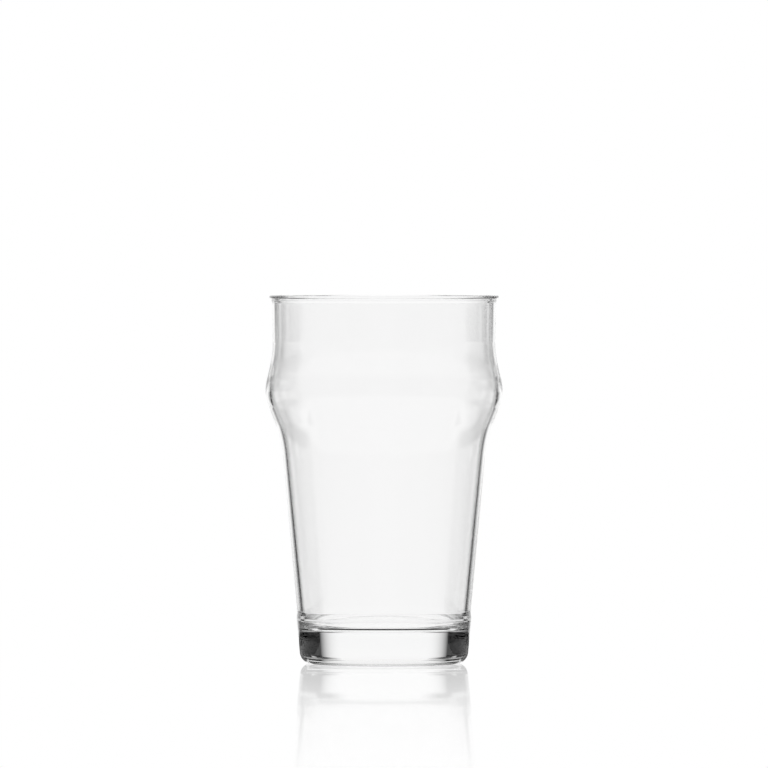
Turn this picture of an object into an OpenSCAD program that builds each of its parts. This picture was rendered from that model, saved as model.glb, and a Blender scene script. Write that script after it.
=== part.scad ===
// Pint glass of the bulged kind: a tapered tumbler with a rounded bulge below a
// short upright neck. It is blown in one piece of clear soda-lime glass, so every
// node here is a zone of that one piece, and each meets the next face to face on
// a level plane. The origin is the centre of the resting plane, with +Z upwards.

/* [Overall] */
// Height from the table to the top of the lip
glass_h = 142.5; // [120:0.5:172]
// Largest diameter, at the crest of the bulge
bulge_d = 91.8; // [80:0.1:112]
// Diameter at the top edge of the foot, where it meets the wall
foot_d = 67.6; // [58:0.1:82]

/* [Foot and base] */
// Height of the foot's top edge
foot_h = 17.6; // [15.5:0.1:22]
// How far the foot stands proud of the wall above it
foot_step = 0.45; // [0.1:0.05:0.9]
// Height over which the wall comes out to the foot
step_h = 2.4; // [1.5:0.1:4]
// How much narrower the foot is, in radius, at the table than at its top edge
foot_taper = 1.6; // [0.5:0.1:3]
// Radius of the rounded heel
heel_r = 4.6; // [2:0.1:6]
// Width of the flat ring that the glass rests on
ring_w = 3; // [1.5:0.1:5]
// Depth of the shallow hollow inside that ring
punt_depth = 0.9; // [0.3:0.1:2]
// Thickness of the solid glass under the edge of the cavity's floor
floor_t = 13.2; // [10:0.1:15.5]
// How far the floor sinks from its edge to its centre
floor_dish = 0.35; // [0.1:0.05:0.8]
// Radius of the corner between the floor and the wall
floor_r = 4.4; // [3:0.1:6]

/* [Wall] */
// Wall thickness just above the foot
foot_wall = 2.1; // [1.5:0.05:3]
// Wall thickness at the waist, under the bulge
waist_wall = 1.5; // [1:0.05:2.2]
// Wall thickness at the crest of the bulge
bulge_wall = 2; // [1.2:0.05:2.6]
// Wall thickness at the bottom of the neck
neck_wall = 1.15; // [0.8:0.05:1.8]

/* [Bulge] */
// Distance from the top of the lip down to the crest of the bulge
crest_drop = 36.6; // [32:0.1:44]
// Distance from the crest down to the waist's corner
waist_drop = 18.6; // [15.5:0.1:22]
// How much smaller the waist is than the crest, in radius
waist_in = 6.1; // [4:0.05:8]
// Distance from the crest up to the neck's bottom corner
shoulder_h = 14.4; // [12:0.1:18]
// How much smaller the neck is than the crest, in radius
neck_in = 2.95; // [1.5:0.05:4]
// How much higher the crest lies inside the wall than outside it
crest_lift = 0.9; // [0:0.1:1.5]
// Radius of the crest outside
crest_r = 18; // [10:0.1:20]
// Radius of the crest inside
crest_inner_r = 23.4; // [14:0.1:26]
// Radius of the cove between the waist and the bulge
waist_cove = 46; // [20:1:62]
// Radius of the cove between the bulge and the neck
neck_cove = 42; // [15:1:52]

/* [Neck and rim] */
// How much wider the neck is, in radius, at the rim than at its bottom
neck_flare = 0.4; // [0:0.05:0.8]
// How far the lip reaches out past the neck
lip_reach = 1.1; // [0.5:0.05:1.6]
// Height of the lip's edge
lip_h = 1.25; // [0.8:0.05:1.8]
// Height of the bead under the lip
bead_h = 1.55; // [1:0.05:2.2]
// How far the bead stands out past the neck
bead_reach = 0.3; // [0.1:0.05:0.5]
// Radius of the rounding inside the mouth
mouth_round = 0.9; // [0.4:0.05:1.2]

/* [Hidden] */
$fn = 240;

GLASS = [0.86, 0.93, 0.95, 0.45];

// How far a rounded stretch may lie inside its true arc, between two of its points
ARC_SAG = 0.01;
// Rounding at the foot's top edge, and of the cove above it
FOOT_EDGE_R = 0.9;
FOOT_COVE_R = 3;
// Rounding of the lip's edge, of the groove under it and of the bead
LIP_ROUND = 0.45;
GROOVE_ROUND = 0.25;
BEAD_ROUND = 0.9;
// How far the neck opens inside, in radius, between its bottom and the rim
BORE_FLARE = 0.1;
// Height of the base's top plane above the edge of the floor
BASE_OVER_FLOOR = 0.6;
// How far the cuts between zones reach past the glass on every side
CUT_MARGIN = 5;

// Heights of the features
crest_z = glass_h - crest_drop;
waist_z = crest_z - waist_drop;
neck_z = crest_z + shoulder_h;
lip_z = glass_h - lip_h;
rim_z = lip_z - bead_h;
bead_z = (lip_z + rim_z) / 2;

// Radii of the features, outside
foot_r = foot_d / 2;
table_r = foot_r - foot_taper;
wall_r = foot_r - foot_step;
bulge_r = bulge_d / 2;
waist_r = bulge_r - waist_in;
neck_r = bulge_r - neck_in;
neck_top_r = neck_r + neck_flare;
ring_r = table_r - heel_r;

// Points that the outside passes through, as [radius, height]
foot_edge = [foot_r, foot_h];
wall_foot = [wall_r, foot_h];
waist_point = [waist_r, waist_z];
crest_centre = [bulge_r - crest_r, crest_z];
neck_point = [neck_r, neck_z];
neck_top = [neck_top_r, rim_z];
wall_above_step = at_height(wall_foot, waist_point, foot_h + step_h);

// Points that the inside passes through
bore_r = neck_r - neck_wall;
inner_foot = wall_foot - [foot_wall, 0];
inner_waist = waist_point - [waist_wall, 0];
inner_crest_centre = [bulge_r - bulge_wall - crest_inner_r, crest_z + crest_lift];
inner_neck = [bore_r, neck_z];
mouth = [bore_r + BORE_FLARE, glass_h];
floor_corner = at_height(inner_foot, inner_waist, floor_t);

// Planes between the zones
base_top = floor_t + BASE_OVER_FLOOR;
wall_top = waist_z - waist_cove * tan(half_turn(wall_foot, waist_point, crest_touch_low()));
shoulder_top = neck_z + neck_cove * tan(half_turn(crest_touch_high(), neck_point, neck_top));

// The point at height z on the line through a and b
function at_height(a, b, z) = a + (b - a) * (z - a[1]) / (b[1] - a[1]);

// The point v turned by angle about the origin, anticlockwise
function turned(v, angle) =
    [v[0] * cos(angle) - v[1] * sin(angle), v[0] * sin(angle) + v[1] * cos(angle)];

// Where a line from p touches the circle about c of radius r, on the side that
// is anticlockwise of p for side 1 and clockwise for side -1
function touch(p, c, r, side) =
    c + turned((p - c) / norm(p - c) * r, side * acos(r / norm(p - c)));

function crest_touch_low() = touch(waist_point, crest_centre, crest_r, 1);
function crest_touch_high() = touch(neck_point, crest_centre, crest_r, -1);

// Half the turn that a path makes at b on its way from a to c
function half_turn(a, b, c) = acos((b - a) * (c - b) / norm(b - a) / norm(c - b)) / 2;

// Steps in which an arc of radius r turns by angle without passing ARC_SAG
function arc_steps(r, angle) = max(2, ceil(abs(angle) / acos(1 - ARC_SAG / r) / 2));

// Points of the arc about c that starts at p and turns by angle
function arc(c, p, angle) =
    let (steps = arc_steps(norm(p - c), angle))
    [for (i = [0 : steps]) c + turned(p - c, angle * i / steps)];

// Points of the arc of radius r that rounds corner b between a and c
function rounded(a, b, c, r) =
    let (
        half = half_turn(a, b, c),
        side = sign(cross(b - a, c - b)),
        along = (b - a) / norm(b - a),
        start = b - along * r * tan(half),
        centre = start + turned(along, side * 90) * r
    )
    arc(centre, start, side * 2 * half);

// Points of the arc about c from touching point p to touching point q
function crest(c, p, q) =
    let (
        angle = acos((p - c) * (q - c) / norm(p - c) / norm(q - c)),
        side = sign(cross(p - c, q - c))
    )
    arc(c, p, side * angle);

// Points of a shallow dome, of the given rise, from the axis at height z to radius r
function dome(z, r, rise) =
    let (
        ball = (r * r + rise * rise) / (2 * abs(rise)),
        reach = asin(r / ball),
        steps = arc_steps(ball, reach)
    )
    [
        for (i = [0 : steps])
            let (angle = reach * i / steps)
            [ball * sin(angle), z + sign(rise) * ball * (1 - cos(angle))]
    ];

// The outside from the centre of the underside up to the bead
outer_path = concat(
    dome(punt_depth, ring_r - ring_w, -punt_depth),
    rounded([0, 0], [table_r, 0], foot_edge, heel_r),
    rounded([table_r, 0], foot_edge, wall_above_step, FOOT_EDGE_R),
    rounded(foot_edge, wall_above_step, waist_point, FOOT_COVE_R),
    rounded(wall_foot, waist_point, crest_touch_low(), waist_cove),
    crest(crest_centre, crest_touch_low(), crest_touch_high()),
    rounded(crest_touch_high(), neck_point, neck_top, neck_cove)
);

// The rim from the neck's outer top edge over the lip and into the mouth
bead_tip = [neck_top_r + bead_reach, bead_z];
groove = [neck_top_r + bead_reach / 2, lip_z];
lip_under = [neck_top_r + lip_reach, lip_z + GROOVE_ROUND];
lip_top = [neck_top_r + lip_reach, glass_h];
rim_path = concat(
    [neck_top],
    rounded(neck_top, bead_tip, groove, BEAD_ROUND),
    rounded(bead_tip, groove, lip_under, GROOVE_ROUND),
    rounded(groove, lip_under, lip_top, LIP_ROUND),
    rounded(lip_under, lip_top, mouth, LIP_ROUND),
    rounded(lip_top, mouth, inner_neck, mouth_round)
);

// The inside from the neck down to the centre of the floor
inner_touch_low = touch(inner_waist, inner_crest_centre, crest_inner_r, 1);
inner_touch_high = touch(inner_neck, inner_crest_centre, crest_inner_r, -1);
floor_edge_r = floor_corner[0] - floor_r * tan(half_turn(inner_waist, floor_corner, [0, floor_t]));
floor_path = dome(floor_t - floor_dish, floor_edge_r, floor_dish);
inner_path = concat(
    rounded(mouth, inner_neck, inner_touch_high, neck_cove),
    crest(inner_crest_centre, inner_touch_high, inner_touch_low),
    rounded(inner_touch_low, inner_waist, inner_foot, waist_cove),
    rounded(inner_waist, floor_corner, [0, floor_t], floor_r),
    [for (i = [len(floor_path) - 1 : -1 : 0]) floor_path[i]]
);

// Half of the upright section through the whole glass
module section() {
    polygon(concat(outer_path, rim_path, inner_path));
}

// The glass between two level planes
module zone(bottom, top) {
    color(GLASS)
        rotate_extrude()
            intersection() {
                section();
                translate([0, bottom])
                    square([bulge_r + CUT_MARGIN, top - bottom]);
            }
}

// Solid disc under the drink, with its rounded heel and hollow underside
module base() {
    zone(-CUT_MARGIN, base_top);
}

// Tapered wall from the floor's corner to the waist, with the foot's top edge
module lower_wall() {
    zone(base_top, wall_top);
}

// Cove and lower flank of the bulge, up to its crest
module bulge_underside() {
    zone(wall_top, crest_z);
}

// Upper flank of the bulge, from its crest to the neck
module bulge_shoulder() {
    zone(crest_z, shoulder_top);
}

// Thin upright wall under the rim
module neck() {
    zone(shoulder_top, rim_z);
}

// Fire-polished edge: a bead, a fine groove and the turned-out lip
module rim() {
    zone(rim_z, glass_h + CUT_MARGIN);
}

base();
lower_wall();
bulge_underside();
bulge_shoulder();
neck();
rim();
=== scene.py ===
"""Looks of a clear pint glass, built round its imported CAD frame.

The glass is one continuous piece, so one closed mesh stands for all the CAD zones. A Geometry
Nodes lathe draws the upright section from named sizes and turns it about the axis. A white
tabletop, a studio surround and a long lens show it. All sizes are in metres.
"""

import logging
import math
from dataclasses import dataclass, field, fields
from enum import Enum
from typing import Any, Callable

import bpy
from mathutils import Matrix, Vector


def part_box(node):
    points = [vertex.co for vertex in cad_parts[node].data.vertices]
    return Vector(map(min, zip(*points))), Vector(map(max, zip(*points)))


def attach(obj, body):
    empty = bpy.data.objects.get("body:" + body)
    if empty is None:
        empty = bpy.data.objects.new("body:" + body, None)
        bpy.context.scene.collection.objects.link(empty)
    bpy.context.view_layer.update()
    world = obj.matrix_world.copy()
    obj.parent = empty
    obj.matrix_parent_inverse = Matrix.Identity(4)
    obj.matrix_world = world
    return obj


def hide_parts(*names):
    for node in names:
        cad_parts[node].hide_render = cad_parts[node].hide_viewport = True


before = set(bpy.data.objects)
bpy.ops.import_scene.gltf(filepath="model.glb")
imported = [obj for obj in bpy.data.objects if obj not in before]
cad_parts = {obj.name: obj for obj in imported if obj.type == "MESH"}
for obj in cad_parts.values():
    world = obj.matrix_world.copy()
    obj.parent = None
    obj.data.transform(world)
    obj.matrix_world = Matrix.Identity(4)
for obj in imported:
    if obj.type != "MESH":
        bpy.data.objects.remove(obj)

log = logging.getLogger("pint_glass")

MM = 0.001
WHITE = (1.0, 1.0, 1.0, 1.0)
GLASS_BOUNCES = 24
MIRROR_BOUNCES = 16


class Zone(Enum):
    """CAD nodes that make up the glass, from the table upwards."""

    BASE = "base"
    LOWER_WALL = "lower_wall"
    BULGE_UNDERSIDE = "bulge_underside"
    BULGE_SHOULDER = "bulge_shoulder"
    NECK = "neck"
    RIM = "rim"


class Op(Enum):
    """Math node operations that the sums in this file use."""

    ADD = "ADD"
    SUBTRACT = "SUBTRACT"
    MULTIPLY = "MULTIPLY"
    DIVIDE = "DIVIDE"
    POWER = "POWER"
    MODULO = "MODULO"
    FLOOR = "FLOOR"
    ABSOLUTE = "ABSOLUTE"
    SQRT = "SQRT"
    SINE = "SINE"
    COSINE = "COSINE"
    ARCSINE = "ARCSINE"
    ARCCOSINE = "ARCCOSINE"
    ARCTAN2 = "ARCTAN2"


@dataclass(frozen=True)
class Signal:
    """A number in a node tree. Python operators on it add the Math nodes that work them out."""

    wiring: "Wiring"
    socket: bpy.types.NodeSocket

    def math(self, op: Op, *others: "Signal | float", clamp: bool = False) -> "Signal":
        """Adds one Math node with this signal first.

        Args:
            op: The operation.
            others: The operation's other inputs.
            clamp: Whether the result is held between 0 and 1.

        Returns:
            The node's result.
        """
        settings = {"operation": op.value, "use_clamp": clamp}
        inputs = dict(enumerate((self, *others)))
        return self.wiring.add("ShaderNodeMath", settings, inputs).out()

    def __add__(self, other: "Signal | float") -> "Signal":
        """Returns self + other."""
        return self.math(Op.ADD, other)

    def __radd__(self, other: float) -> "Signal":
        """Returns other + self."""
        return self.math(Op.ADD, other)

    def __sub__(self, other: "Signal | float") -> "Signal":
        """Returns self - other."""
        return self.math(Op.SUBTRACT, other)

    def __rsub__(self, other: float) -> "Signal":
        """Returns other - self."""
        return self.wiring.number(other).math(Op.SUBTRACT, self)

    def __mul__(self, other: "Signal | float") -> "Signal":
        """Returns self * other."""
        return self.math(Op.MULTIPLY, other)

    def __rmul__(self, other: float) -> "Signal":
        """Returns other * self."""
        return self.math(Op.MULTIPLY, other)

    def __truediv__(self, other: "Signal | float") -> "Signal":
        """Returns self / other."""
        return self.math(Op.DIVIDE, other)

    def __pow__(self, other: float) -> "Signal":
        """Returns self raised to the power other."""
        return self.math(Op.POWER, other)

    def ramp(self, start: float, end: float) -> "Signal":
        """Returns 0 up to start, 1 from end on, and a straight run between them."""
        return ((self - start) / (end - start)).math(Op.ADD, 0.0, clamp=True)

    def toward(self, other: "Signal", share: "Signal") -> "Signal":
        """Returns this signal moved toward the other by the given share."""
        return self + (other - self) * share


@dataclass(frozen=True)
class Placed:
    """A node that has been added, for picking its outputs."""

    wiring: "Wiring"
    node: bpy.types.Node

    def out(self, key: str | int = 0) -> Signal:
        """Returns the output of that name or place."""
        return Signal(self.wiring, self.node.outputs[key])


@dataclass(frozen=True)
class Wiring:
    """A node tree being built."""

    tree: bpy.types.NodeTree

    def add(
        self,
        kind: str,
        settings: dict[str, Any] | None = None,
        inputs: dict[str | int, Any] | None = None,
    ) -> Placed:
        """Adds one node.

        Args:
            kind: The node's type.
            settings: Its own settings, which are set before its inputs.
            inputs: A value or a signal for each named or numbered input.

        Returns:
            The node.
        """
        node = self.tree.nodes.new(kind)
        for name, value in (settings or {}).items():
            setattr(node, name, value)
        for key, value in (inputs or {}).items():
            self.feed(node.inputs[key], value)
        return Placed(self, node)

    def feed(self, socket: bpy.types.NodeSocket, value: Any) -> None:
        """Links a signal to a socket, or sets the socket to a plain value."""
        if isinstance(value, Signal):
            self.tree.links.new(value.socket, socket)
        else:
            socket.default_value = value

    def number(self, value: float) -> Signal:
        """Returns a plain number as a signal."""
        placed = self.add("ShaderNodeValue")
        placed.node.outputs[0].default_value = value
        return placed.out()

    def vector(self, x: Any, y: Any, z: Any) -> Signal:
        """Returns a vector made of three numbers."""
        return self.add("ShaderNodeCombineXYZ", None, {0: x, 1: y, 2: z}).out()


@dataclass(frozen=True)
class Corner:
    """A corner of the glass's upright section, with the radius that rounds it."""

    radius: Any
    height: Any
    rounding: Any = 0.0


@dataclass(frozen=True)
class ClearGlass:
    """Polished soda-lime glass, colourless but for a trace of grey-green in its thickness.

    Its polish varies slightly, as a film does, and long shallow flow marks run up it.
    """

    ior: float = 1.52
    absorbed: tuple[float, float, float, float] = (0.50, 0.53, 0.52, 1.0)
    absorption: float = 1.0
    polish: float = 0.004
    film: float = 0.012
    film_scale: float = 55.0
    film_detail: float = 4.0
    flow_scale: float = 30.0
    flow_detail: float = 1.0
    flow_stretch: tuple[float, float, float] = (1.0, 1.0, 0.25)
    flow_height: float = 0.02 * MM
    flow_strength: float = 0.15

    def make(self) -> bpy.types.Material:
        """Returns the finish as a node material on Object coordinates."""
        material = bpy.data.materials.new("clear_glass")
        material.use_nodes = True
        material.node_tree.nodes.clear()
        wiring = Wiring(material.node_tree)
        place = wiring.add("ShaderNodeTexCoord").out("Object")
        film = wiring.add(
            "ShaderNodeTexNoise",
            None,
            {"Vector": place, "Scale": self.film_scale, "Detail": self.film_detail},
        ).out()
        stretched = wiring.add(
            "ShaderNodeMapping", None, {"Vector": place, "Scale": self.flow_stretch}
        ).out()
        flow = wiring.add(
            "ShaderNodeTexNoise",
            None,
            {"Vector": stretched, "Scale": self.flow_scale, "Detail": self.flow_detail},
        ).out()
        bump = wiring.add(
            "ShaderNodeBump",
            None,
            {"Height": flow, "Distance": self.flow_height, "Strength": self.flow_strength},
        ).out()
        glass = wiring.add(
            "ShaderNodeBsdfPrincipled",
            None,
            {
                "Base Color": WHITE,
                "IOR": self.ior,
                "Transmission Weight": 1.0,
                "Roughness": self.polish + film * self.film,
                "Normal": bump,
            },
        ).out()
        depth = wiring.add(
            "ShaderNodeVolumeAbsorption",
            None,
            {"Color": self.absorbed, "Density": self.absorption},
        ).out()
        wiring.add("ShaderNodeOutputMaterial", None, {"Surface": glass, "Volume": depth})
        return material


@dataclass
class PintGlass:
    """The whole glass: its driving sizes, its mesh and its finish."""

    foot_radius: float = 33.8 * MM
    foot_height: float = 17.6 * MM
    foot_step: float = 0.45 * MM
    step_height: float = 2.4 * MM
    foot_taper: float = 1.6 * MM
    heel_radius: float = 4.6 * MM
    ring_width: float = 3.0 * MM
    punt_depth: float = 0.9 * MM
    floor_height: float = 13.2 * MM
    floor_dish: float = 0.35 * MM
    floor_corner: float = 4.4 * MM
    foot_wall: float = 2.1 * MM
    waist_wall: float = 1.5 * MM
    bulge_wall: float = 2.0 * MM
    neck_wall: float = 1.15 * MM
    crest_drop: float = 36.6 * MM
    waist_drop: float = 18.6 * MM
    waist_in: float = 6.1 * MM
    shoulder_height: float = 14.4 * MM
    neck_in: float = 2.95 * MM
    crest_lift: float = 0.9 * MM
    crest_radius: float = 18.0 * MM
    inner_crest_radius: float = 23.4 * MM
    waist_cove: float = 46.0 * MM
    neck_cove: float = 42.0 * MM
    neck_flare: float = 0.4 * MM
    bore_flare: float = 0.1 * MM
    lip_reach: float = 1.1 * MM
    lip_height: float = 1.25 * MM
    bead_height: float = 1.55 * MM
    bead_reach: float = 0.3 * MM
    mouth_round: float = 0.9 * MM
    glass_height: float = field(init=False)
    bulge_radius: float = field(init=False)

    ARC_POINTS = 18
    TURNS = 288
    WELD = 0.002 * MM
    HOLLOW_MID = 0.5
    HOLLOW_SWEEP = 150.0 * MM
    HOLLOW_ROUND = 1.5 * MM
    FOOT_ROUND = 0.9 * MM
    STEP_ROUND = 3.0 * MM
    BEAD_FOOT_ROUND = 0.5 * MM
    BEAD_ROUND = 0.9 * MM
    GROOVE_ROUND = 0.25 * MM
    LIP_ROUND = 0.45 * MM
    DISH_MID = 0.4
    DISH_SWEEP = 300.0 * MM

    def __post_init__(self) -> None:
        """Takes the overall height and the largest radius from the CAD frame."""
        self.glass_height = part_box(Zone.RIM.value)[1].z
        self.bulge_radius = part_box(Zone.BULGE_UNDERSIDE.value)[1].x

    def build(self) -> bpy.types.Object:
        """Returns the dressed glass, riding on the frame in place of the CAD zones."""
        finish = ClearGlass().make()
        piece = self.turned_mesh(finish)
        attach(piece, "root")
        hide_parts(*(zone.value for zone in Zone))
        faces = len(piece.data.polygons)
        log.info("%s: %d faces, one closed piece for %d zones", piece.name, faces, len(Zone))
        return piece

    def turned_mesh(self, finish: bpy.types.Material) -> bpy.types.Object:
        """Runs the lathe once and keeps its result as a plain mesh.

        Args:
            finish: The material that the lathe's last node sets.

        Returns:
            An object at the origin with no modifier.
        """
        tree = self.lathe(finish)
        piece = bpy.data.objects.new("glass_body", bpy.data.meshes.new("glass_seed"))
        bpy.context.scene.collection.objects.link(piece)
        modifier = piece.modifiers.new("lathe", "NODES")
        modifier.node_group = tree
        for item in tree.interface.items_tree:
            if item.in_out == "INPUT" and hasattr(self, item.name):
                modifier[item.identifier] = getattr(self, item.name)
        seen = bpy.context.evaluated_depsgraph_get()
        mesh = bpy.data.meshes.new_from_object(piece.evaluated_get(seen))
        piece.modifiers.remove(modifier)
        piece.data = mesh
        mesh.name = "glass_body"
        return piece

    def lathe(self, finish: bpy.types.Material) -> bpy.types.NodeTree:
        """Builds the lathe's node tree.

        Args:
            finish: The material of the turned surface.

        Returns:
            The tree.
        """
        tree = bpy.data.node_groups.new("glass_lathe", "GeometryNodeTree")
        for item in fields(self):
            socket = tree.interface.new_socket(item.name, in_out="INPUT", socket_type="NodeSocketFloat")
            socket.default_value = getattr(self, item.name)
        tree.interface.new_socket("Geometry", in_out="OUTPUT", socket_type="NodeSocketGeometry")
        wiring = Wiring(tree)
        sizes = wiring.add("NodeGroupInput")
        named = {item.name: sizes.out(item.name) for item in fields(self)}
        section = self.section(wiring, self.corners(named))
        surface = self.revolved(wiring, section)
        real = wiring.add("GeometryNodeRealizeInstances", None, {0: surface}).out()
        dressed = wiring.add("GeometryNodeSetMaterial", None, {0: real, "Material": finish}).out()
        wiring.add("NodeGroupOutput", None, {0: dressed})
        return tree

    def corners(self, s: dict[str, Signal]) -> list[Corner]:
        """Works out the section's corners from the named sizes.

        Args:
            s: A signal for each size, by its name.

        Returns:
            The corners from the centre of the underside, over the rim, to the centre of the floor.
        """
        crest_z = s["glass_height"] - s["crest_drop"]
        waist_z = crest_z - s["waist_drop"]
        neck_z = crest_z + s["shoulder_height"]
        lip_z = s["glass_height"] - s["lip_height"]
        rim_z = lip_z - s["bead_height"]
        table_r = s["foot_radius"] - s["foot_taper"]
        wall_r = s["foot_radius"] - s["foot_step"]
        waist_r = s["bulge_radius"] - s["waist_in"]
        neck_r = s["bulge_radius"] - s["neck_in"]
        neck_top_r = neck_r + s["neck_flare"]
        hollow_r = table_r - s["heel_radius"] - s["ring_width"]
        bore_r = neck_r - s["neck_wall"]
        step_z = s["foot_height"] + s["step_height"]

        def wall(inset: Any, inset_top: Any, height: Any) -> Signal:
            """Finds the radius at a height on the straight wall from the foot to the waist.

            Args:
                inset: How far in from the outside the line starts, at the foot.
                inset_top: How far in it ends, at the waist.
                height: The height.

            Returns:
                The radius.
            """
            share = (height - s["foot_height"]) / (waist_z - s["foot_height"])
            low = wall_r - inset
            return low + (waist_r - inset_top - low) * share

        outer_crest = self.crest_corner(
            (s["bulge_radius"] - s["crest_radius"], crest_z),
            s["crest_radius"],
            (waist_r, waist_z),
            (neck_r, neck_z),
        )
        inner_waist_r = waist_r - s["waist_wall"]
        inner_crest = self.crest_corner(
            (s["bulge_radius"] - s["bulge_wall"] - s["inner_crest_radius"], crest_z + s["crest_lift"]),
            s["inner_crest_radius"],
            (inner_waist_r, waist_z),
            (bore_r, neck_z),
        )
        floor_r = wall(s["foot_wall"], s["waist_wall"], s["floor_height"])
        floor_z = s["floor_height"] - s["floor_dish"]
        lip_r = neck_top_r + s["lip_reach"]
        return [
            Corner(0.0, s["punt_depth"]),
            Corner(hollow_r * self.HOLLOW_MID, s["punt_depth"], self.HOLLOW_SWEEP),
            Corner(hollow_r, 0.0, self.HOLLOW_ROUND),
            Corner(table_r, 0.0, s["heel_radius"]),
            Corner(s["foot_radius"], s["foot_height"], self.FOOT_ROUND),
            Corner(wall(0.0, 0.0, step_z), step_z, self.STEP_ROUND),
            Corner(waist_r, waist_z, s["waist_cove"]),
            Corner(*outer_crest, s["crest_radius"]),
            Corner(neck_r, neck_z, s["neck_cove"]),
            Corner(neck_top_r, rim_z, self.BEAD_FOOT_ROUND),
            Corner(neck_top_r + s["bead_reach"], rim_z + s["bead_height"] * 0.5, self.BEAD_ROUND),
            Corner(neck_top_r + s["bead_reach"] * 0.5, lip_z, self.GROOVE_ROUND),
            Corner(lip_r, lip_z + self.GROOVE_ROUND, self.LIP_ROUND),
            Corner(lip_r, s["glass_height"], self.LIP_ROUND),
            Corner(bore_r + s["bore_flare"], s["glass_height"], s["mouth_round"]),
            Corner(bore_r, neck_z, s["neck_cove"]),
            Corner(*inner_crest, s["inner_crest_radius"]),
            Corner(inner_waist_r, waist_z, s["waist_cove"]),
            Corner(floor_r, s["floor_height"], s["floor_corner"]),
            Corner(floor_r * self.DISH_MID, floor_z, self.DISH_SWEEP),
            Corner(0.0, floor_z),
        ]

    def crest_corner(
        self,
        centre: tuple[Signal, Signal],
        radius: Signal,
        low: tuple[Signal, Signal],
        high: tuple[Signal, Signal],
    ) -> tuple[Signal, Signal]:
        """Finds where the two flanks of the bulge would meet if the crest weren't round.

        Args:
            centre: The centre of the crest's circle, as radius and height.
            radius: The radius of that circle.
            low: The point that the lower flank comes from.
            high: The point that the upper flank goes to.

        Returns:
            The radius and height at which lines from both points that touch the circle meet.
        """

        def touch_angle(point: tuple[Signal, Signal], side: float) -> Signal:
            """Finds where the line from a point touches the circle.

            Args:
                point: The point, as radius and height.
                side: 1 or -1, for which of the two such lines.

            Returns:
                The angle of the touching point about the circle's centre.
            """
            across = point[0] - centre[0]
            up = point[1] - centre[1]
            far = (across * across + up * up).math(Op.SQRT)
            return up.math(Op.ARCTAN2, across) + (radius / far).math(Op.ARCCOSINE) * side

        lower = touch_angle(low, 1.0)
        upper = touch_angle(high, -1.0)
        middle = (lower + upper) * 0.5
        reach = radius / ((upper - lower) * 0.5).math(Op.COSINE)
        return (
            centre[0] + reach * middle.math(Op.COSINE),
            centre[1] + reach * middle.math(Op.SINE),
        )

    def section(self, wiring: Wiring, corners: list[Corner]) -> Signal:
        """Draws the rounded section as one curve in the XZ plane.

        Args:
            wiring: The tree.
            corners: The section's corners in order.

        Returns:
            The curve.
        """
        index = wiring.add("GeometryNodeInputIndex").out()
        places = [wiring.vector(corner.radius, 0.0, corner.height) for corner in corners]
        place = self.picked(wiring, "VECTOR", index, places)
        rounding = self.picked(wiring, "FLOAT", index, [corner.rounding for corner in corners])
        line = wiring.add("GeometryNodeMeshLine", None, {"Count": len(corners)}).out()
        bent = wiring.add("GeometryNodeSetPosition", None, {0: line, "Position": place}).out()
        curve = wiring.add("GeometryNodeMeshToCurve", None, {0: bent}).out()
        return wiring.add(
            "GeometryNodeFilletCurve",
            {"mode": "POLY"},
            {0: curve, "Count": self.ARC_POINTS, "Radius": rounding, "Limit Radius": True},
        ).out()

    def picked(self, wiring: Wiring, kind: str, index: Signal, values: list[Any]) -> Signal:
        """Picks a value from a list by index, through one Index Switch.

        Args:
            wiring: The tree.
            kind: The data type of the values.
            index: The index to pick by.
            values: The values in order.

        Returns:
            The picked value.
        """
        switch = wiring.add("GeometryNodeIndexSwitch", {"data_type": kind})
        while len(switch.node.index_switch_items) < len(values):
            switch.node.index_switch_items.new()
        wiring.feed(switch.node.inputs["Index"], index)
        for place, value in enumerate(values):
            wiring.feed(switch.node.inputs[str(place)], value)
        return switch.out()

    def revolved(self, wiring: Wiring, section: Signal) -> Signal:
        """Turns the section about the Z axis into one closed, smooth surface.

        Args:
            wiring: The tree.
            section: The curve to turn.

        Returns:
            The surface, with its seam and poles merged.
        """
        counted = wiring.add("GeometryNodeAttributeDomainSize", {"component": "CURVE"}, {0: section})
        points = counted.out("Point Count")
        grid = wiring.add(
            "GeometryNodeMeshGrid",
            None,
            {"Vertices X": self.TURNS + 1, "Vertices Y": points},
        ).out()
        index = wiring.add("GeometryNodeInputIndex").out()
        along = index.math(Op.MODULO, points)
        angle = (index / points).math(Op.FLOOR) * (math.tau / self.TURNS)
        here = wiring.add("GeometryNodeInputPosition").out()
        sampled = wiring.add(
            "GeometryNodeSampleIndex",
            {"data_type": "FLOAT_VECTOR", "domain": "POINT"},
            {0: section, "Value": here, "Index": along},
        ).out()
        split = wiring.add("ShaderNodeSeparateXYZ", None, {0: sampled})
        x = split.out(0) * angle.math(Op.COSINE)
        y = split.out(0) * angle.math(Op.SINE)
        place = wiring.vector(x, y, split.out(2))
        turned = wiring.add("GeometryNodeSetPosition", None, {0: grid, "Position": place}).out()
        merged = wiring.add(
            "GeometryNodeMergeByDistance", None, {0: turned, "Distance": self.WELD}
        ).out()
        return wiring.add("GeometryNodeSetShadeSmooth", None, {0: merged}).out()


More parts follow.
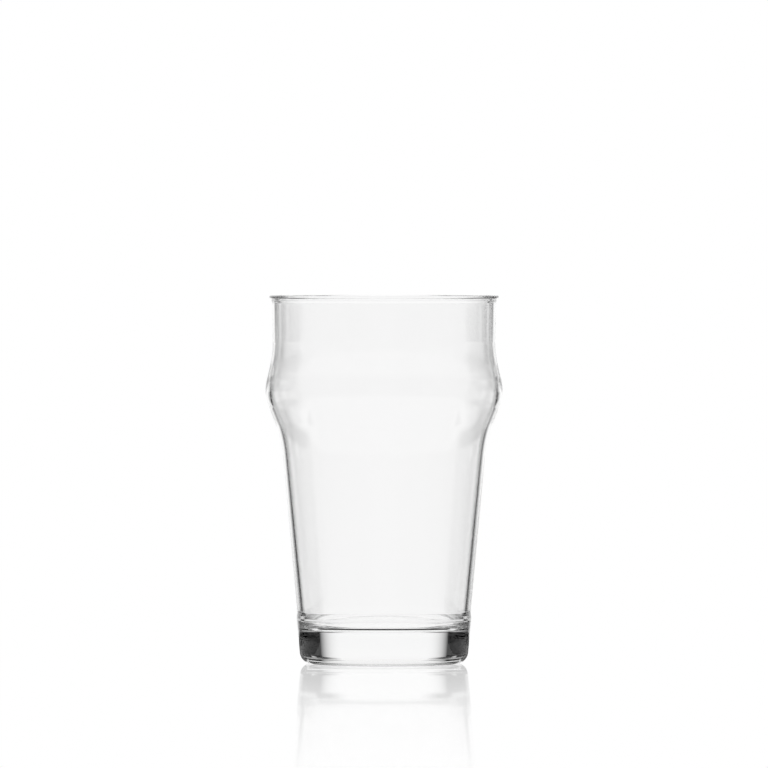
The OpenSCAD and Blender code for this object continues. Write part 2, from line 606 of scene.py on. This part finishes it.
@dataclass(frozen=True)
class Disc:
    """A flat disc, ring or part of a ring about the Z axis, for the stage."""

    name: str
    outer: float
    inner: float = 0.0
    height: float = 0.0
    start: float = 0.0
    sweep: float = math.tau
    points: int = 128

    def build(self, finish: bpy.types.Material) -> bpy.types.Object:
        """Makes the disc.

        Args:
            finish: The disc's material.

        Returns:
            The disc.
        """
        angles = [self.start + self.sweep * i / self.points for i in range(self.points + 1)]
        circle = [(math.cos(angle), math.sin(angle)) for angle in angles]
        corners = [(self.outer * x, self.outer * y, self.height) for x, y in circle]
        corners += [(self.inner * x, self.inner * y, self.height) for x, y in circle]
        near = self.points + 1
        faces = [(i, i + 1, near + i + 1, near + i) for i in range(self.points)]
        mesh = bpy.data.meshes.new(self.name)
        mesh.from_pydata(corners, [], faces)
        mesh.materials.append(finish)
        disc = bpy.data.objects.new(self.name, mesh)
        bpy.context.scene.collection.objects.link(disc)
        log.info("%s: stage, %.0f mm across", self.name, 2 * self.outer / MM)
        return disc


@dataclass(frozen=True)
class Tabletop:
    """A white, polished table under the glass, which mirrors it faintly near its foot."""

    radius: float = 1.2
    gloss_share: float = 0.58
    gloss_ior: float = 1.5
    roughness: float = 0.03
    gloss_start: float = 0.03
    gloss_end: float = 0.95
    gloss_fade: float = 0.8
    edge_start: float = 0.9

    def build(self) -> bpy.types.Object:
        """Returns the tabletop, which only the camera sees; the surround lights the glass."""
        table = Disc("tabletop", self.radius).build(self.finish())
        table.visible_glossy = False
        table.visible_transmission = False
        table.visible_diffuse = False
        table.visible_shadow = False
        return table

    def finish(self) -> bpy.types.Material:
        """Returns the table's lit white with a mirror over it that fades with distance."""
        material = bpy.data.materials.new("table_white")
        material.use_nodes = True
        material.node_tree.nodes.clear()
        wiring = Wiring(material.node_tree)
        place = wiring.add("ShaderNodeTexCoord").out("Object")
        away = wiring.add("ShaderNodeVectorMath", {"operation": "LENGTH"}, {0: place}).out("Value")
        glow = wiring.add("ShaderNodeEmission", None, {"Color": WHITE, "Strength": 1.0}).out()
        mirror = wiring.add(
            "ShaderNodeBsdfGlossy", None, {"Color": WHITE, "Roughness": self.roughness}
        ).out()
        facing = wiring.add("ShaderNodeFresnel", None, {"IOR": self.gloss_ior}).out()
        near = 1.0 - away.ramp(self.gloss_start, self.gloss_end) ** self.gloss_fade
        share = facing * near * self.gloss_share
        top = wiring.add("ShaderNodeMixShader", None, {0: share, 1: glow, 2: mirror}).out()
        clear = wiring.add("ShaderNodeBsdfTransparent").out()
        edge = away.ramp(self.edge_start, self.radius)
        seen = wiring.add("ShaderNodeMixShader", None, {0: edge, 1: top, 2: clear}).out()
        wiring.add("ShaderNodeOutputMaterial", None, {"Surface": seen})
        return material


def emitter(name: str, light: Callable[[Wiring], Any]) -> bpy.types.Material:
    """Makes a plain lit or black card's material.

    Args:
        name: The material's name.
        light: Works out the brightness in the material's node tree.

    Returns:
        The material.
    """
    material = bpy.data.materials.new(name)
    material.use_nodes = True
    material.node_tree.nodes.clear()
    wiring = Wiring(material.node_tree)
    glow = wiring.add("ShaderNodeEmission", None, {"Color": WHITE, "Strength": light(wiring)})
    wiring.add("ShaderNodeOutputMaterial", None, {"Surface": glow.out()})
    return material


def side_name(hand: float) -> str:
    """Returns the name of the side that hand is on: 1 for the right, -1 for the left."""
    return "right" if hand > 0 else "left"


def upright_card(
    name: str,
    finish: bpy.types.Material,
    path: list[tuple[float, float]],
    heights: tuple[float, float],
) -> bpy.types.Object:
    """Makes an upright card. Only light through the glass sees it.

    Args:
        name: The card's name.
        finish: Its material.
        path: The x and y of the points that it runs through.
        heights: Its lower and upper edges.

    Returns:
        The card.
    """
    corners = [(x, y, z) for z in heights for x, y in path]
    top = len(path)
    faces = [(i, i + 1, top + i + 1, top + i) for i in range(top - 1)]
    mesh = bpy.data.meshes.new(name)
    mesh.from_pydata(corners, [], faces)
    mesh.materials.append(finish)
    card = bpy.data.objects.new(name, mesh)
    bpy.context.scene.collection.objects.link(card)
    card.visible_camera = False
    card.visible_glossy = False
    log.info("%s: stage, %.0f mm high", name, (heights[1] - heights[0]) / MM)
    return card


@dataclass(frozen=True)
class BlackCards:
    """Black cards laid round the foot, which the glass sees and the camera doesn't: painted shade. The
    inner pair is a painted shadow where the foot meets the table, seen through the glass and in its
    reflections. The outer pair is seen only in the glass's reflections and is a painted dark
    reflection.

    Spans are angles from the X axis, for the right side. The left side mirrors them.
    """

    height: float = -0.2 * MM
    # Painted shadow under the foot's edge: the radii and span of the inner black cards.
    contact_shadow_inner: float = 25.0 * MM
    contact_shadow_outer: float = 35.0 * MM
    contact_shadow_span: tuple[float, float] = (math.radians(-90.0), math.radians(-15.0))
    # Painted dark reflection: the radii and span of the outer black cards, which only reflections see.
    dark_reflection_inner: float = 31.0 * MM
    dark_reflection_outer: float = 190.0 * MM
    dark_reflection_span: tuple[float, float] = (math.radians(-10.0), math.radians(90.0))

    def build(self) -> None:
        """Lays the cards for both sides."""
        # Painted shade: an unlit black finish for both pairs of cards, which the camera never sees.
        black = emitter("painted_shade_black", lambda wiring: 0.0)
        for hand in (1.0, -1.0):
            # Painted shadow where the foot meets the table: the inner black card, seen through the
            # glass and in its reflections.
            inner, outer = self.contact_shadow_inner, self.contact_shadow_outer
            self.laid(black, hand, "contact", inner, outer, self.contact_shadow_span)
            # Painted dark reflection: the outer black card, seen only in the glass's reflections.
            side = self.laid(black, hand, "side", self.dark_reflection_inner, self.dark_reflection_outer, self.dark_reflection_span)
            side.visible_transmission = False

    def laid(
        self,
        finish: bpy.types.Material,
        hand: float,
        name: str,
        inner: float,
        outer: float,
        span: tuple[float, float],
    ) -> bpy.types.Object:
        """Lays one part of a ring on the table.

        Args:
            finish: The card's material.
            hand: 1 for the right side, -1 for the left.
            name: The card's name, less its side.
            inner: The ring's inner radius.
            outer: The ring's outer radius.
            span: The two angles that it runs between on the right side.

        Returns:
            The card.
        """
        start = span[0] if hand > 0 else math.pi - span[1]
        sweep = span[1] - span[0]
        disc = Disc(f"{side_name(hand)}_{name}_card", outer, inner, self.height, start, sweep)
        card = disc.build(finish)
        card.visible_camera = False
        return card


@dataclass(frozen=True)
class SideScreens:
    """Curved screens behind the glass, one at each side, from the bulge's crest to above the rim.

    Each is white at its inner edge, black where it draws the wall's dark line, and grey beyond.
    """

    radius: float = 450.0 * MM
    low: float = 106.0 * MM
    high: float = 155.0 * MM
    start: float = math.radians(16.0)
    end: float = math.radians(48.0)
    white_end: float = math.radians(20.0)
    black_start: float = math.radians(31.0)
    black_end: float = math.radians(40.0)
    grey_start: float = math.radians(44.5)
    grey: float = 0.58
    points: int = 32

    def build(self) -> None:
        """Makes both screens, which the camera doesn't see."""
        finish = emitter("screen_grey", self.light)
        step = (self.end - self.start) / self.points
        angles = [self.start + step * i for i in range(self.points + 1)]
        for hand in (1.0, -1.0):
            path = [
                (hand * math.sin(angle) * self.radius, math.cos(angle) * self.radius)
                for angle in angles
            ]
            upright_card(f"{side_name(hand)}_screen", finish, path, (self.low, self.high))

    def light(self, wiring: Wiring) -> Signal:
        """Returns how bright the screen is at each azimuth about the glass."""
        place = wiring.add("ShaderNodeTexCoord").out("Object")
        split = wiring.add("ShaderNodeSeparateXYZ", None, {0: place})
        azimuth = split.out(0).math(Op.ARCTAN2, split.out(1)).math(Op.ABSOLUTE)
        white = 1.0 - azimuth.ramp(self.white_end, self.black_start)
        return white + azimuth.ramp(self.black_end, self.grey_start) * self.grey


@dataclass(frozen=True)
class StudioSurround:
    """A white card ahead, black flags at its sides, and a pale room round them.

    The light is worked out by direction: azimuth from the Y axis, and elevation.
    Above the horizon the card is wide and the flags stand well out. Below it the card is
    narrower, and a slim flag stands at each side. The sky, the sides and the floor are pale.
    """

    room: float = 0.45
    floor: float = 0.95
    floor_behind: float = 0.7
    split_low: float = math.radians(-2.2)
    split_high: float = math.radians(-1.2)
    wide_soft: float = math.radians(20.0)
    wide_end: float = math.radians(38.0)
    wide_falloff: float = 2.6
    side_start: float = math.radians(78.0)
    side_end: float = math.radians(84.0)
    slim_soft: float = math.radians(18.0)
    slim_end: float = math.radians(29.0)
    slim_back: float = math.radians(38.5)
    slim_room: float = math.radians(44.0)
    near_room: float = 0.58
    sky_start: float = math.radians(18.0)
    sky_end: float = math.radians(24.0)
    top_start: float = math.radians(44.0)
    top_end: float = math.radians(56.0)
    sky_card_end: float = math.radians(60.0)
    heel_start: float = math.radians(-11.0)
    heel_end: float = math.radians(-13.0)
    floor_start: float = math.radians(-21.0)
    floor_end: float = math.radians(-24.5)
    floor_lift: float = math.radians(10.0)
    back_start: float = math.radians(80.0)
    back_end: float = math.radians(100.0)

    def build(self) -> bpy.types.World:
        """Returns the surround as the scene's world."""
        world = bpy.data.worlds.new("studio_surround")
        bpy.context.scene.world = world
        world.use_nodes = True
        world.node_tree.nodes.clear()
        wiring = Wiring(world.node_tree)
        direction = wiring.add("ShaderNodeTexCoord").out("Generated")
        split = wiring.add("ShaderNodeSeparateXYZ", None, {0: direction})
        azimuth = split.out(0).math(Op.ARCTAN2, split.out(1)).math(Op.ABSOLUTE)
        height = split.out(2).math(Op.ARCSINE)
        light = self.light(azimuth, height)
        sky = wiring.add("ShaderNodeBackground", None, {"Color": WHITE, "Strength": light}).out()
        wiring.add("ShaderNodeOutputWorld", None, {"Surface": sky})
        log.info("studio surround: card, flags and pale room")
        return world

    def light(self, azimuth: Signal, height: Signal) -> Signal:
        """Works out how bright each direction is.

        Args:
            azimuth: The angle from straight ahead, in radians, the same to left and right.
            height: The elevation, in radians.

        Returns:
            The brightness, with the card's as 1.
        """
        wide = 1.0 - azimuth.ramp(self.wide_soft, self.wide_end) ** self.wide_falloff
        side = azimuth.ramp(self.side_start, self.side_end)
        upper = wide + side * self.room
        slim = 1.0 - azimuth.ramp(self.slim_soft, self.slim_end)
        back = azimuth.ramp(self.back_start, self.back_end)
        pale = self.near_room - side * (self.near_room - self.room)
        lower = slim + azimuth.ramp(self.slim_back, self.slim_room) * pale
        level = lower.toward(upper, height.ramp(self.split_low, self.split_high))
        sky = 1.0 - azimuth.ramp(self.wide_soft, self.sky_card_end) * (1.0 - self.room)
        level = level.toward(sky, height.ramp(self.sky_start, self.sky_end))
        top = height.ramp(self.top_start, self.top_end)
        level = level + (1.0 - level) * top
        heel = level.toward(upper, height.ramp(self.heel_start, self.heel_end))
        floor = self.floor - back * (self.floor - self.floor_behind)
        lifted = height - back * self.floor_lift
        return heel.toward(floor, lifted.ramp(self.floor_start, self.floor_end))


@dataclass(frozen=True)
class Viewpoint:
    """A long lens a little above the rim, aimed part-way up the glass."""

    distance: float = 4.259
    target_height: float = 108.2 * MM
    looks_down: float = math.radians(0.744)
    frame_width: float = 297.4 * MM
    sensor: float = 36.0
    clip_start: float = 0.1
    clip_end: float = 50.0

    def build(self) -> bpy.types.Object:
        """Returns the scene's camera."""
        data = bpy.data.cameras.new("camera")
        data.sensor_width = self.sensor
        data.lens = self.sensor * self.distance / self.frame_width
        data.clip_start = self.clip_start
        data.clip_end = self.clip_end
        camera = bpy.data.objects.new("camera", data)
        bpy.context.scene.collection.objects.link(camera)
        back = Vector((0.0, -math.cos(self.looks_down), math.sin(self.looks_down)))
        camera.location = Vector((0.0, 0.0, self.target_height)) + back * self.distance
        camera.rotation_mode = "QUATERNION"
        camera.rotation_quaternion = (-back).to_track_quat("-Z", "Y")
        bpy.context.scene.camera = camera
        return camera


def set_light_paths() -> None:
    """Lets light cross the thick base as often as it needs to, and keeps white plain white."""
    scene = bpy.context.scene
    scene.view_settings.view_transform = "Standard"
    scene.cycles.max_bounces = GLASS_BOUNCES
    scene.cycles.transmission_bounces = GLASS_BOUNCES
    scene.cycles.glossy_bounces = MIRROR_BOUNCES


def main() -> None:
    """Builds the view, the stage and the glass in order."""
    logging.basicConfig(level=logging.INFO, format="%(message)s")
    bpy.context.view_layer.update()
    Viewpoint().build()
    set_light_paths()
    StudioSurround().build()
    Tabletop().build()
    BlackCards().build()
    SideScreens().build()
    PintGlass().build()


if __name__ == "__main__":
    main()
